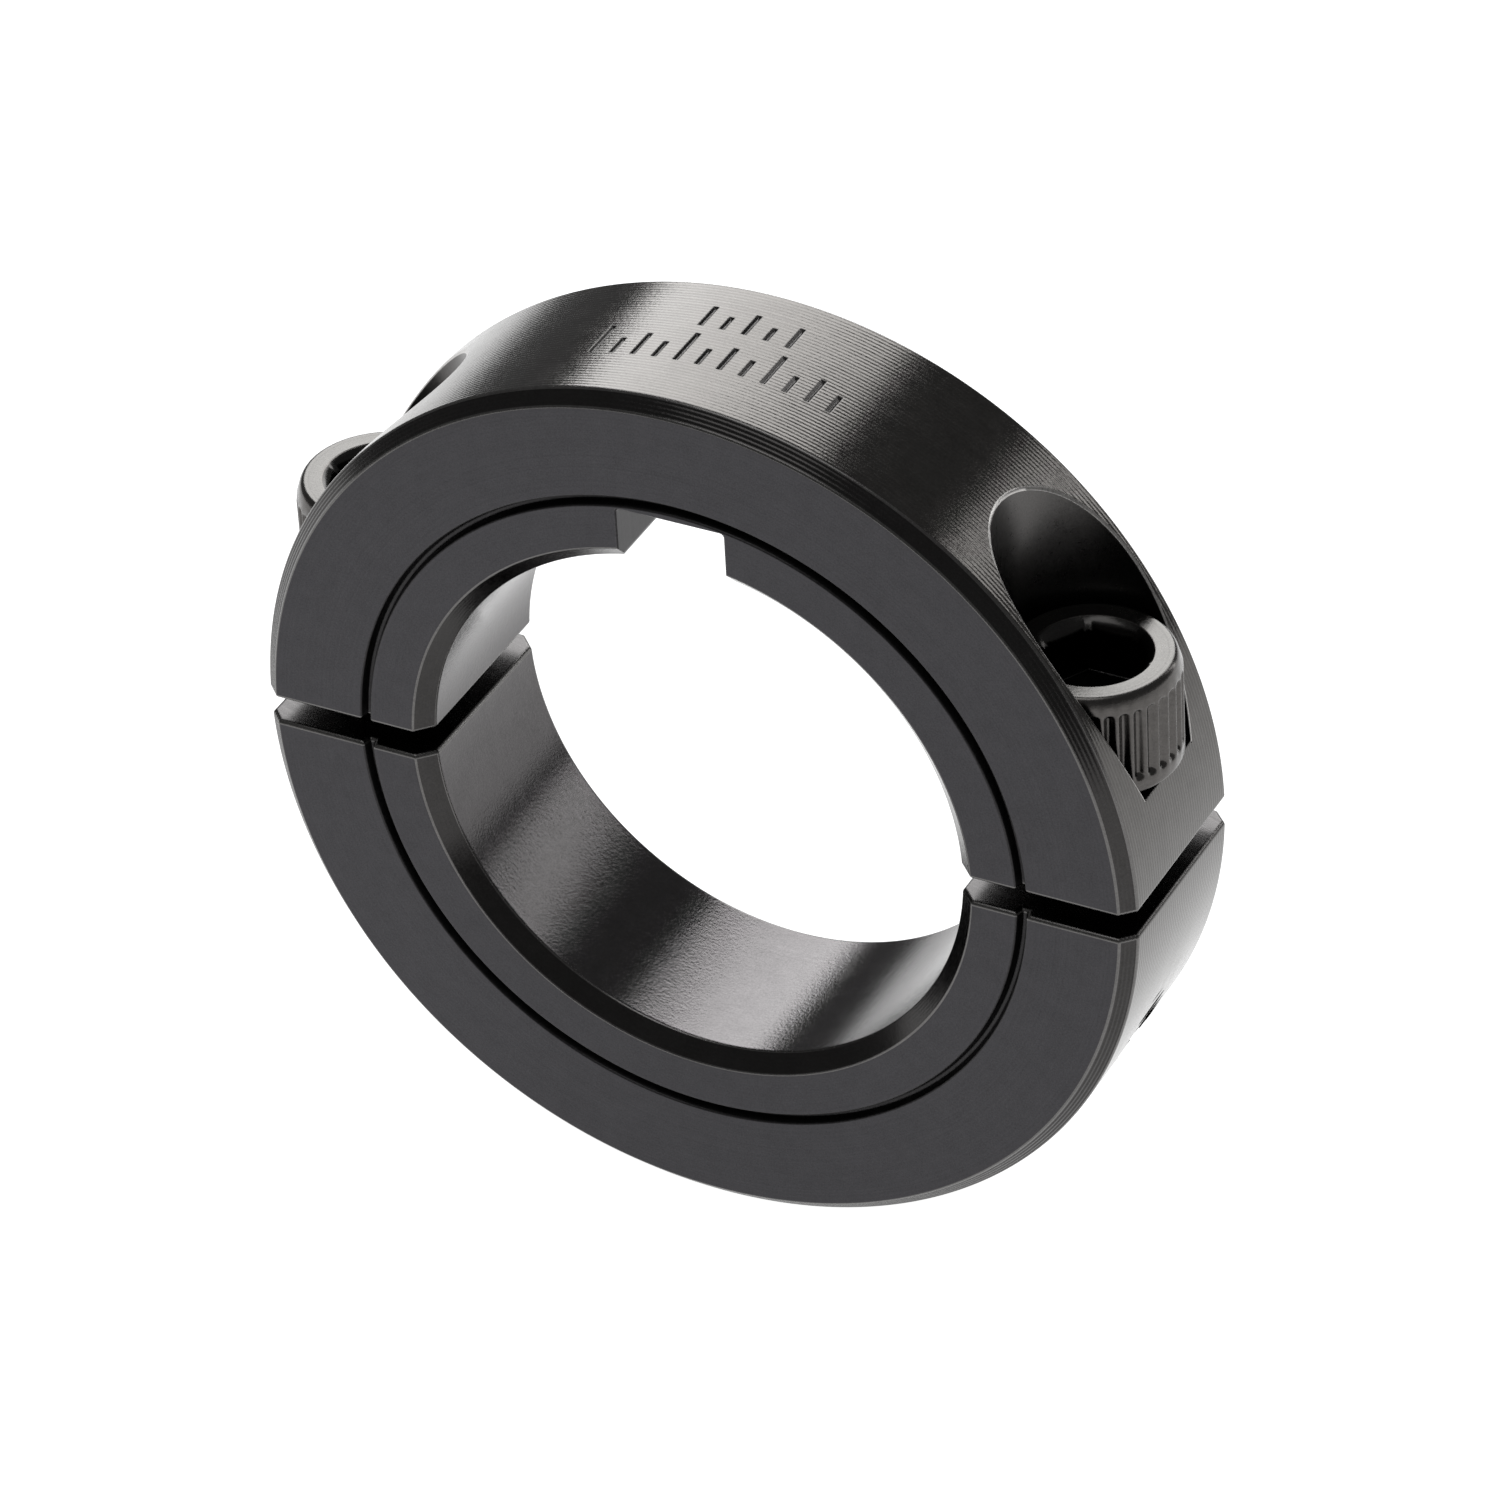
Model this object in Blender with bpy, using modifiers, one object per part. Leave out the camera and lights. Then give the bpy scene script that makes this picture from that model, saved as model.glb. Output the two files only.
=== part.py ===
"""Two-piece keyed shaft collar for a 1-1/4 in shaft, Blender 4.5, metres, +Z up.

The bore runs along Y with the grooved face toward -Y. The split plane is z = 0.
The keyed half is above it and holds both screw heads; the lower half is tapped.
"""

from math import cos, pi, radians, sin, sqrt

import bmesh
import bpy
from mathutils import Matrix

MM = 0.001
INCH = 0.0254

# Ring
BORE_R = 0.5 * 1.25 * INCH
RING_R = 0.5 * 2.0625 * INCH
WIDTH = 0.5 * INCH
KERF = 1.5 * MM
RING_CHAMFER = 0.8 * MM
BORE_CHAMFER = 0.95 * MM
RING_STEPS = 96

# Circular groove in the front face
GROOVE_R = 19.45 * MM
GROOVE_W = 0.6 * MM
GROOVE_DEPTH = 0.55 * MM
GROOVE_TAPER = 0.1 * MM

# Keyway
KEY_W = 0.25 * INCH
KEY_ROOF_Z = 19.05 * MM
KEY_BREAK = 0.55 * MM

# Cap screws, 1/4-28 x 5/8 in
SCREW_X = 21.25 * MM
PITCH = INCH / 28.0
THREAD_R = 0.125 * INCH
THREAD_DEPTH = 0.56 * MM
THREAD_STEPS = 16
SCREW_LENGTH = 0.625 * INCH
TIP_CHAMFER = 0.6 * MM
HEAD_R = 4.76 * MM
HEAD_H = 6.25 * MM
HEAD_STEPS = 36
HEAD_BOTTOM_Z = 6.35 * MM
HEAD_TOP_Z = HEAD_BOTTOM_Z + HEAD_H
HEAD_RING_R = 4.24 * MM
HEAD_EDGE = 0.4 * MM
SOCKET_AF = 0.1875 * INCH
SOCKET_DEPTH = 3.1 * MM
SOCKET_MOUTH_R = 3.26 * MM
SOCKET_LEAD = 0.7 * MM

# Straight knurl round the head
KNURL_COUNT = 36
KNURL_DEPTH = 0.26 * MM
KNURL_W = 0.5 * MM
KNURL_LOW_Z = HEAD_BOTTOM_Z + 0.95 * MM
KNURL_HIGH_Z = HEAD_TOP_Z - 1.1 * MM

# Seats and holes for the screws
SEAT_GAP = 0.3 * MM
SEAT_Z = HEAD_BOTTOM_Z - SEAT_GAP
POCKET_R = 5.1 * MM
CLEARANCE_R = 3.45 * MM
THREAD_PLAY = 0.2 * MM
TAP_LEAD_R = 3.8 * MM
TAP_LEAD_DEPTH = 1.3 * MM

FAR = 40.0 * MM


def clear_scene():
    for old in list(bpy.data.objects):
        bpy.data.objects.remove(old, do_unlink=True)


def make_collection(name):
    group = bpy.data.collections.new(name)
    bpy.context.scene.collection.children.link(group)
    return group


def make_material(name, colour, roughness):
    material = bpy.data.materials.new(name)
    material.use_nodes = True
    shader = material.node_tree.nodes["Principled BSDF"]
    shader.inputs["Base Color"].default_value = (*colour, 1.0)
    shader.inputs["Metallic"].default_value = 0.85
    shader.inputs["Roughness"].default_value = roughness
    return material


def add_object(name, mesh, group):
    thing = bpy.data.objects.new(name, mesh)
    group.objects.link(thing)
    return thing


def mark_cutter(thing):
    thing.hide_render = True
    thing.display_type = "WIRE"
    return thing


def cut(thing, cutter, operation="DIFFERENCE"):
    step = thing.modifiers.new(cutter.name, "BOOLEAN")
    step.operation = operation
    step.solver = "EXACT"
    step.object = cutter


def block(name, group, low, high):
    """A box between two opposite corners."""
    shape = bmesh.new()
    size = [b - a for a, b in zip(low, high)]
    centre = [0.5 * (a + b) for a, b in zip(low, high)]
    place = Matrix.Translation(centre) @ Matrix.Diagonal((*size, 1.0))
    bmesh.ops.create_cube(shape, size=1.0, matrix=place)
    mesh = bpy.data.meshes.new(name)
    shape.to_mesh(mesh)
    shape.free()
    return mark_cutter(add_object(name, mesh, group))


def cone(name, group, centre, radius_low, radius_high, low, high, steps, turn=0.0):
    """A cylinder or cone along Z between two heights."""
    shape = bmesh.new()
    place = Matrix.Translation((centre[0], centre[1], 0.5 * (low + high)))
    place = place @ Matrix.Rotation(turn, 4, "Z")
    bmesh.ops.create_cone(
        shape,
        cap_ends=True,
        segments=steps,
        radius1=radius_low,
        radius2=radius_high,
        depth=high - low,
        matrix=place,
    )
    mesh = bpy.data.meshes.new(name)
    shape.to_mesh(mesh)
    shape.free()
    return mark_cutter(add_object(name, mesh, group))


def turned(name, group, profile, steps, closed):
    """A profile of (radius, height) pairs turned about local Z."""
    mesh = bpy.data.meshes.new(name)
    points = [(radius, 0.0, height) for radius, height in profile]
    edges = [(i, i + 1) for i in range(len(points) - 1)]
    if closed:
        edges.append((len(points) - 1, 0))
    mesh.from_pydata(points, edges, [])
    thing = add_object(name, mesh, group)
    turn = thing.modifiers.new("turn", "SCREW")
    turn.axis = "Z"
    turn.angle = 2.0 * pi
    turn.steps = steps
    turn.render_steps = steps
    turn.use_merge_vertices = True
    turn.merge_threshold = 0.000001
    turn.use_smooth_shade = True
    return thing


def ring_profile():
    half = 0.5 * WIDTH
    groove_out = GROOVE_R + GROOVE_W
    return [
        (RING_R, half - RING_CHAMFER),
        (RING_R, -half + RING_CHAMFER),
        (RING_R - RING_CHAMFER, -half),
        (BORE_R + BORE_CHAMFER, -half),
        (BORE_R, -half + BORE_CHAMFER),
        (BORE_R, half - BORE_CHAMFER),
        (BORE_R + BORE_CHAMFER, half),
        (GROOVE_R, half),
        (GROOVE_R + GROOVE_TAPER, half - GROOVE_DEPTH),
        (groove_out - GROOVE_TAPER, half - GROOVE_DEPTH),
        (groove_out, half),
        (RING_R - RING_CHAMFER, half),
    ]


def half_ring(name, group, cutters, upper):
    """The full ring turned about Y, less everything across the kerf."""
    ring = turned(name, group, ring_profile(), RING_STEPS, True)
    ring.rotation_euler = (radians(90.0), 0.0, 0.0)
    if upper:
        low, high = -FAR, 0.5 * KERF
    else:
        low, high = -0.5 * KERF, FAR
    waste = block(name + ".waste", cutters, (-FAR, -FAR, low), (FAR, FAR, high))
    cut(ring, waste)
    return ring


def keyway_outline():
    """Half of the slot's section, from its flared mouth to its flat roof."""
    side = 0.5 * KEY_W
    corner_z = sqrt(BORE_R**2 - side**2)
    right = [(side + 2.0 * KEY_BREAK, corner_z - 4.0 * KEY_BREAK)]
    for i in range(4):
        angle = radians(90.0 * i / 3.0)
        x = side + KEY_BREAK * (1.0 - sin(angle))
        z = corner_z - 0.15 * MM + KEY_BREAK * (1.0 - cos(angle))
        right.append((x, z))
    right.append((side, KEY_ROOF_Z - 0.25 * MM))
    right.append((side - 0.25 * MM, KEY_ROOF_Z))
    left = [(-x, z) for x, z in reversed(right)]
    return right + left


def outline_prism(name, group, outline, depth):
    """A flat outline in X and Z, thickened along Y, as a mesh."""
    curve = bpy.data.curves.new(name + ".outline", "CURVE")
    curve.dimensions = "2D"
    curve.fill_mode = "BOTH"
    curve.extrude = 0.5 * depth
    line = curve.splines.new("POLY")
    line.points.add(len(outline) - 1)
    for point, (x, z) in zip(line.points, outline):
        point.co = (x, z, 0.0, 1.0)
    line.use_cyclic_u = True
    guide = add_object(name + ".guide", curve, group)
    guide.rotation_euler = (radians(90.0), 0.0, 0.0)
    bpy.context.view_layer.update()
    graph = bpy.context.evaluated_depsgraph_get()
    mesh = bpy.data.meshes.new_from_object(guide.evaluated_get(graph))
    shape = bmesh.new()
    shape.from_mesh(mesh)
    bmesh.ops.remove_doubles(shape, verts=shape.verts, dist=0.000001)
    bmesh.ops.recalc_face_normals(shape, faces=shape.faces)
    shape.to_mesh(mesh)
    shape.free()
    solid = mark_cutter(add_object(name, mesh, group))
    solid.matrix_world = guide.matrix_world.copy()
    bpy.data.objects.remove(guide, do_unlink=True)
    return solid


def thread_body(name, group, x, crest_r, root_r, low, high):
    """A right-hand thread: a crest and a root per pitch, climbing one pitch a turn."""
    turns = int((high - low) / PITCH) + 1
    levels = 2 * turns + 1
    start = HEAD_BOTTOM_Z - PITCH * (int((HEAD_BOTTOM_Z - low) / PITCH) + 1)
    shape = bmesh.new()
    rows = []
    for level in range(levels):
        radius = crest_r if level % 2 == 0 else root_r
        row = []
        for step in range(THREAD_STEPS):
            angle = 2.0 * pi * step / THREAD_STEPS
            height = start + PITCH * (step / THREAD_STEPS + 0.5 * level)
            place = (x + radius * cos(angle), radius * sin(angle), height)
            row.append(shape.verts.new(place))
        rows.append(row)
    for level in range(levels - 1):
        for step in range(THREAD_STEPS):
            if step + 1 < THREAD_STEPS:
                after = (rows[level][step + 1], rows[level + 1][step + 1])
            elif level + 3 < levels:
                after = (rows[level + 2][0], rows[level + 3][0])
            else:
                continue
            before = (rows[level][step], rows[level + 1][step])
            shape.faces.new((before[0], after[0], after[1], before[1]))
    close_thread_end(shape, rows, x, start - PITCH, False)
    close_thread_end(shape, rows, x, start + PITCH * (turns + 2), True)
    bmesh.ops.recalc_face_normals(shape, faces=shape.faces)
    mesh = bpy.data.meshes.new(name)
    shape.to_mesh(mesh)
    shape.free()
    return mark_cutter(add_object(name, mesh, group))


def close_thread_end(shape, rows, x, height, top):
    """A fan from the axis to the stepped end of the thread."""
    tip = shape.verts.new((x, 0.0, height))
    if top:
        loop = rows[-1] + [rows[-2][-1], rows[-3][-1]]
    else:
        loop = rows[0] + [rows[2][0], rows[1][0]]
    for first, second in zip(loop, loop[1:] + loop[:1]):
        shape.faces.new((first, second, tip))


def screw_envelope(name, group, x):
    """The threaded length with its chamfered tip, reaching up inside the head."""
    tip_z = HEAD_BOTTOM_Z - SCREW_LENGTH
    inside_z = HEAD_BOTTOM_Z + 0.5 * MM
    profile = [
        (0.0, inside_z),
        (THREAD_R + 0.05 * MM, inside_z),
        (THREAD_R + 0.05 * MM, tip_z + TIP_CHAMFER),
        (THREAD_R - TIP_CHAMFER, tip_z),
        (0.0, tip_z),
    ]
    body = turned(name, group, profile, 32, False)
    body.location = (x, 0.0, 0.0)
    return mark_cutter(body)


def head_profile():
    return [
        (0.0, HEAD_TOP_Z),
        (HEAD_RING_R, HEAD_TOP_Z),
        (HEAD_R - 0.12 * MM, HEAD_TOP_Z - HEAD_EDGE),
        (HEAD_R, HEAD_TOP_Z - HEAD_EDGE - 0.3 * MM),
        (HEAD_R, HEAD_BOTTOM_Z + 0.15 * MM),
        (HEAD_R - 0.15 * MM, HEAD_BOTTOM_Z),
        (0.0, HEAD_BOTTOM_Z),
    ]


def knurl_cutter(name, group, x):
    """Diamond bars spaced evenly round the head, one for each flute."""
    shape = bmesh.new()
    height = KNURL_HIGH_Z - KNURL_LOW_Z
    middle = 0.5 * (KNURL_HIGH_Z + KNURL_LOW_Z)
    spread = Matrix.Diagonal((KNURL_DEPTH, 0.5 * KNURL_W, 1.0, 1.0))
    for i in range(KNURL_COUNT):
        turn = Matrix.Rotation(2.0 * pi * i / KNURL_COUNT, 4, "Z")
        place = Matrix.Translation((x, 0.0, middle)) @ turn
        place = place @ Matrix.Translation((HEAD_R, 0.0, 0.0)) @ spread
        bmesh.ops.create_cone(
            shape,
            cap_ends=True,
            segments=4,
            radius1=1.0,
            radius2=1.0,
            depth=height,
            matrix=place,
        )
    mesh = bpy.data.meshes.new(name)
    shape.to_mesh(mesh)
    shape.free()
    return mark_cutter(add_object(name, mesh, group))


def cap_screw(name, group, cutters, x, material):
    head = turned(name, group, head_profile(), HEAD_STEPS, False)
    head.location = (x, 0.0, 0.0)
    top = HEAD_TOP_Z
    lead_z = top - SOCKET_LEAD
    mouth = SOCKET_MOUTH_R + 0.5 * MM
    hex_r = 0.5 * SOCKET_AF / cos(radians(30.0))
    centre = (x, 0.0)
    lead_low = SOCKET_MOUTH_R - SOCKET_LEAD
    lead = cone(name + ".lead", cutters, centre, lead_low, mouth, lead_z, top + 0.5 * MM, 36)
    flats = cone(name + ".hex", cutters, centre, hex_r, hex_r, top - SOCKET_DEPTH, top + MM, 6)
    shank = thread_body(
        name + ".thread",
        cutters,
        x,
        THREAD_R,
        THREAD_R - THREAD_DEPTH,
        HEAD_BOTTOM_Z - SCREW_LENGTH - 2.0 * PITCH,
        HEAD_BOTTOM_Z + 2.0 * PITCH,
    )
    cut(shank, screw_envelope(name + ".envelope", cutters, x), "INTERSECT")
    cut(head, knurl_cutter(name + ".knurl", cutters, x))
    cut(head, lead)
    cut(head, flats)
    cut(head, shank, "UNION")
    head.data.materials.append(material)
    return head


def keyed_half(group, cutters, material):
    """Upper half: keyway, two head pockets and two clearance holes."""
    half = half_ring("collar_half_keyed", group, cutters, True)
    slot = outline_prism("keyway", cutters, keyway_outline(), 2.0 * WIDTH)
    cut(half, slot)
    for side, sign in (("right", 1.0), ("left", -1.0)):
        centre = (sign * SCREW_X, 0.0)
        pocket = cone("pocket." + side, cutters, centre, POCKET_R, POCKET_R, SEAT_Z, FAR, 48)
        hole = cone(
            "clearance." + side, cutters, centre, CLEARANCE_R, CLEARANCE_R, -2.0 * MM, 8.0 * MM, 32
        )
        cut(half, pocket)
        cut(half, hole)
    half.data.materials.append(material)
    return half


def tapped_half(group, cutters, material):
    """Lower half: two threaded holes that come out through the ring's outside."""
    half = half_ring("collar_half_tapped", group, cutters, False)
    crest = THREAD_R + THREAD_PLAY
    root = THREAD_R - THREAD_DEPTH + THREAD_PLAY
    face = -0.5 * KERF
    for side, sign in (("right", 1.0), ("left", -1.0)):
        x = sign * SCREW_X
        tap = thread_body("tap." + side, cutters, x, crest, root, -22.0 * MM, 1.0 * MM)
        slope = (TAP_LEAD_R - root + 0.1 * MM) / TAP_LEAD_DEPTH
        lead = cone(
            "tap_lead." + side,
            cutters,
            (x, 0.0),
            root - 0.1 * MM,
            TAP_LEAD_R + slope * MM,
            face - TAP_LEAD_DEPTH,
            face + MM,
            32,
            radians(5.0),
        )
        cut(half, tap)
        cut(half, lead)
    half.data.materials.append(material)
    return half


def main():
    clear_scene()
    parts = make_collection("two_piece_keyed_shaft_collar")
    cutters = make_collection("cutters")
    oxide_keyed = make_material("black_oxide_keyed_half", (0.068, 0.066, 0.070), 0.42)
    oxide_tapped = make_material("black_oxide_tapped_half", (0.060, 0.058, 0.062), 0.42)
    oxide_right = make_material("black_oxide_screw_right", (0.085, 0.080, 0.076), 0.36)
    oxide_left = make_material("black_oxide_screw_left", (0.085, 0.080, 0.076), 0.36)
    tapped_half(parts, cutters, oxide_tapped)
    keyed_half(parts, cutters, oxide_keyed)
    cap_screw("cap_screw_right", parts, cutters, SCREW_X, oxide_right)
    cap_screw("cap_screw_left", parts, cutters, -SCREW_X, oxide_left)
    bpy.context.view_layer.update()


main()
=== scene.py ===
from math import acos, asin, atan2, ceil, cos, hypot, pi, radians, sin, sqrt, tan

import bmesh
import bpy
import numpy as np
from mathutils import Matrix, Vector


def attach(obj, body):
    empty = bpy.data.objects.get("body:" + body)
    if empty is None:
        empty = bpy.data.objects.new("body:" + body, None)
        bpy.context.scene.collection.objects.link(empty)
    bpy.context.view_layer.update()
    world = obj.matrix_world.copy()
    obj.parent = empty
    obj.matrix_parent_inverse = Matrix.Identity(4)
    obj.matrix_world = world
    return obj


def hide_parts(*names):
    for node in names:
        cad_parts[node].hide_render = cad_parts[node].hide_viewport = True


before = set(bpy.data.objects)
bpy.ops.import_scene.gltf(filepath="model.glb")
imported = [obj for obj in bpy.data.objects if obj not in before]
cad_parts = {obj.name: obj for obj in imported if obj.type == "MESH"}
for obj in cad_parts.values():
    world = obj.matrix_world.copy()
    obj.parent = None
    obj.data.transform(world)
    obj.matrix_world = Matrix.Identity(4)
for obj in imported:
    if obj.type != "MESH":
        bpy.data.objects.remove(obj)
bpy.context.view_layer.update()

MM = 0.001
WELD = 0.0000005

# Ring, in millimetres: the bore runs along Y and the split plane is z = 0
BORE_R = 15.875
RING_R = 26.19375
HALF_W = 6.35
HALF_KERF = 0.75
RING_CHAMFER = 0.8
BORE_CHAMFER = 0.95
CHAMFER_RIDGES = 4
CHAMFER_RIDGE_DEPTH = 0.026
GROOVE_R = 19.45
GROOVE_W = 0.6
GROOVE_DEPTH = 0.55
GROOVE_SLANT = 0.2
GROOVE_LIP = 0.12
GROOVE_FILLET = 0.05
EDGE_BREAK = 0.21
END_BREAK = 0.24
LEAST_BREAK = 0.03

# Keyway
KEY_W = 6.35
KEY_ROOF_Z = 19.05
KEY_BREAK = 0.55
KEY_BREAK_DROP = 0.15
KEY_FILLET = 0.25
KEY_FLARE = 0.07

# Strokes on the outside: how many, the first one's angle in degrees, their low end
# in y, and the lengths that repeat
STROKE_ROWS = (
    (12, 104.5, -2.05, (2.9, 1.7, 2.3, 1.7)),
    (5, 94.0, 1.45, (2.1, 1.4)),
)
STROKE_TURN = 2.8
STROKE_HALF_W = 0.17
STROKE_DEPTH = 0.13
STROKE_SLANT = 0.2

# Pockets and holes
SCREW_X = 21.25
SEAT_Z = 6.05
POCKET_R = 5.1
MOUTH_BREAK = 0.14
CLEARANCE_R = 3.45
TAP_LOW_Z = -22.0
TAP_LEAD_DEPTH = 1.3
TAP_LEAD_R = 4.885

# Screws
PITCH = 25.4 / 28.0
THREAD_R = 3.175
THREAD_DEPTH = 0.56
THREAD_PLAY = 0.2
SCREW_LENGTH = 15.875
TIP_CHAMFER = 0.62
HEAD_R = 4.76
HEAD_LOW_Z = 6.35
HEAD_TOP_Z = 12.6
HEAD_FOOT = 0.14
CROWN_INSET = 0.18
CROWN_HEIGHT = 0.45
CROWN_TILT = 25.0
RING_TOP_R = 4.24
SOCKET_MOUTH_R = 3.26
SOCKET_AF = 4.7625
SOCKET_DEPTH = 3.1
KNURL_COUNT = 36
KNURL_DEPTH = 0.32
KNURL_START = 0.72
KNURL_END = 1.30
KNURL_FULL = 2.4

# How finely the curves are cut up
CORNER_STEPS = 5
END_STEPS = 5
RIDGE_STEPS = 6
SWEEP_STEPS = 300
FLUTE_STEPS = 12
FADE_STEPS = 5
CROWN_STEPS = 8


# ---------------------------------------------------------------- profiles


def rounded(points, radii):
    """A closed outline with each corner turned into an arc of its own radius."""
    result = []
    count = len(points)
    for i, (corner, radius) in enumerate(zip(points, radii)):
        here = Vector(corner)
        back = (Vector(points[i - 1]) - here).normalized()
        ahead = (Vector(points[(i + 1) % count]) - here).normalized()
        half = 0.5 * acos(max(-1.0, min(1.0, back.dot(ahead))))
        reach = radius / tan(half)
        centre = here + (back + ahead).normalized() * (radius / sin(half))
        first = here + back * reach - centre
        last = here + ahead * reach - centre
        span = atan2(first.x * last.y - first.y * last.x, first.dot(last))
        for k in range(CORNER_STEPS + 1):
            turn = span * k / CORNER_STEPS
            x = first.x * cos(turn) - first.y * sin(turn)
            y = first.x * sin(turn) + first.y * cos(turn)
            result.append(centre + Vector((x, y)))
    return result


def quarter(steps):
    """Angles from zero to a quarter turn, in equal steps, with both ends."""
    return [radians(90.0 * i / steps) for i in range(steps + 1)]


def scalloped(first, last, count, depth):
    """Shallow turning ridges along a straight flank, from first to last."""
    along = last - first
    inward = Vector((-along.y, along.x)).normalized()
    points = []
    for i in range(count * RIDGE_STEPS + 1):
        share = i / (count * RIDGE_STEPS)
        dip = depth * 0.5 * (1.0 - cos(2.0 * pi * count * share))
        points.append(first + along * share + inward * dip)
    return points


def ring_section(inset=0.0):
    """The ring's section as (radius, y) points, counter-clockwise, front face at -y.

    inset shrinks the section on every side, for the rounded edges at the kerf.
    """
    front = -HALF_W + inset
    rear = -front
    outside = RING_R - inset
    bore = BORE_R + inset
    shrink = (2.0 - sqrt(2.0)) * inset
    bevel = RING_CHAMFER - shrink
    lead = BORE_CHAMFER - shrink
    groove_in = GROOVE_R - inset
    groove_out = GROOVE_R + GROOVE_W + inset
    floor = front + GROOVE_DEPTH
    edge = max(EDGE_BREAK - 0.8 * inset, LEAST_BREAK)
    lip = max(GROOVE_LIP - 0.4 * inset, LEAST_BREAK)
    corners = [
        ((bore + lead, front), edge),
        ((groove_in, front), lip),
        ((groove_in + GROOVE_SLANT, floor), GROOVE_FILLET),
        ((groove_out - GROOVE_SLANT, floor), GROOVE_FILLET),
        ((groove_out, front), lip),
        ((outside - bevel, front), edge),
        ((outside, front + bevel), edge),
        ((outside, rear - bevel), edge),
        ((outside - bevel, rear), edge),
        ((bore + lead, rear), edge),
        ((bore, rear - lead), edge),
        ((bore, front + lead), edge),
    ]
    points = rounded([c for c, _ in corners], [r for _, r in corners])
    # The ridged front chamfer starts after the sixth corner's arc
    cut = 6 * (CORNER_STEPS + 1)
    ridges = scalloped(points[cut - 1], points[cut], CHAMFER_RIDGES, CHAMFER_RIDGE_DEPTH)
    return points[:cut] + ridges[1:-1] + points[cut:]


def outline_normals(points):
    """Outward normals of a counter-clockwise outline, one for each point."""
    normals = []
    count = len(points)
    for i in range(count):
        along = points[(i + 1) % count] - points[i - 1]
        normals.append(Vector((along.y, -along.x)).normalized())
    return normals


# ---------------------------------------------------------------- mesh helpers


def new_object(name, mesh):
    thing = bpy.data.objects.new(name, mesh)
    bpy.context.scene.collection.objects.link(thing)
    return thing


def mesh_from(name, points, faces):
    """A mesh in metres from points in millimetres."""
    mesh = bpy.data.meshes.new(name)
    mesh.from_pydata([tuple(c * MM for c in p) for p in points], [], faces)
    mesh.update()
    return mesh


def faced_out(mesh):
    """Welds the mesh's points and turns its faces outwards."""
    shape = bmesh.new()
    shape.from_mesh(mesh)
    bmesh.ops.remove_doubles(shape, verts=shape.verts, dist=WELD)
    bmesh.ops.recalc_face_normals(shape, faces=shape.faces)
    shape.to_mesh(mesh)
    shape.free()
    return mesh


def loft(name, rows):
    """Quads between closed rows of equal length, with a flat cap at each end."""
    points = [p for row in rows for p in row]
    width = len(rows[0])
    faces = []
    for i in range(len(rows) - 1):
        for j in range(width):
            k = (j + 1) % width
            a = i * width
            b = a + width
            faces.append((a + j, a + k, b + k, b + j))
    faces.append(tuple(range(width)))
    faces.append(tuple((len(rows) - 1) * width + j for j in reversed(range(width))))
    return faced_out(mesh_from(name, points, faces))


def circle(centre, radius, height, steps, turn=0.0):
    """Points round an upright axis through centre, which is (x, y)."""
    points = []
    for i in range(steps):
        angle = 2.0 * pi * i / steps + turn
        points.append((centre[0] + radius * cos(angle), centre[1] + radius * sin(angle), height))
    return points


def cylinder_mesh(name, centre, radius_low, radius_high, low, high, steps, turn=0.0):
    """An upright cylinder, or a cone where its two radii differ."""
    rows = [
        circle(centre, radius_low, low, steps, turn),
        circle(centre, radius_high, high, steps, turn),
    ]
    return loft(name, rows)


def apply_modifiers(thing):
    """Turns what the object's modifiers make into its mesh."""
    bpy.context.view_layer.update()
    graph = bpy.context.evaluated_depsgraph_get()
    result = bpy.data.meshes.new_from_object(thing.evaluated_get(graph))
    thing.modifiers.clear()
    old = thing.data
    thing.data = result
    bpy.data.meshes.remove(old)
    result.name = thing.name


def apply_boolean(thing, meshes, operation="DIFFERENCE"):
    """Applies one Boolean for each cutter mesh and removes the cutters."""
    cutters = []
    for mesh in meshes:
        cutter = new_object(mesh.name, mesh)
        cutters.append(cutter)
        step = thing.modifiers.new(mesh.name, "BOOLEAN")
        step.operation = operation
        step.solver = "EXACT"
        step.object = cutter
    apply_modifiers(thing)
    for cutter in cutters:
        data = cutter.data
        bpy.data.objects.remove(cutter, do_unlink=True)
        bpy.data.meshes.remove(data)
    return thing


# ---------------------------------------------------------------- ring halves


def half_ring_mesh(name, side):
    """The section swept from one kerf face to the other, with rounded edges there."""
    fillet = [(END_BREAK * (1.0 - sin(a)), END_BREAK * (1.0 - cos(a))) for a in quarter(END_STEPS)]
    stations = [(0.0, inset, lift) for inset, lift in fillet]
    stations += [(i / SWEEP_STEPS, 0.0, END_BREAK) for i in range(1, SWEEP_STEPS)]
    stations += [(1.0, inset, lift) for inset, lift in reversed(fillet)]
    rows = []
    for share, inset, lift in stations:
        row = []
        for radius, y in ring_section(inset):
            start = asin((HALF_KERF + lift) / radius)
            angle = start + share * (pi - 2.0 * start)
            row.append((radius * cos(angle), y, side * radius * sin(angle)))
        rows.append(row)
    return loft(name, rows)


def keyway_outline(grow):
    """The slot's outline as (x, z) points, grown by a margin on its sides and roof."""
    side = 0.5 * KEY_W + grow
    roof = KEY_ROOF_Z + grow
    corner_z = sqrt(BORE_R**2 - (0.5 * KEY_W) ** 2)
    right = [(side + 2.0 * KEY_BREAK, corner_z - 4.0 * KEY_BREAK)]
    for angle in quarter(8):
        x = side + KEY_BREAK * (1.0 - sin(angle))
        z = corner_z - KEY_BREAK_DROP + KEY_BREAK * (1.0 - cos(angle))
        right.append((x, z))
    for angle in quarter(4):
        x = side - KEY_FILLET + KEY_FILLET * cos(angle)
        z = roof - KEY_FILLET + KEY_FILLET * sin(angle)
        right.append((x, z))
    return right + [(-x, z) for x, z in reversed(right)]


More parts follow.
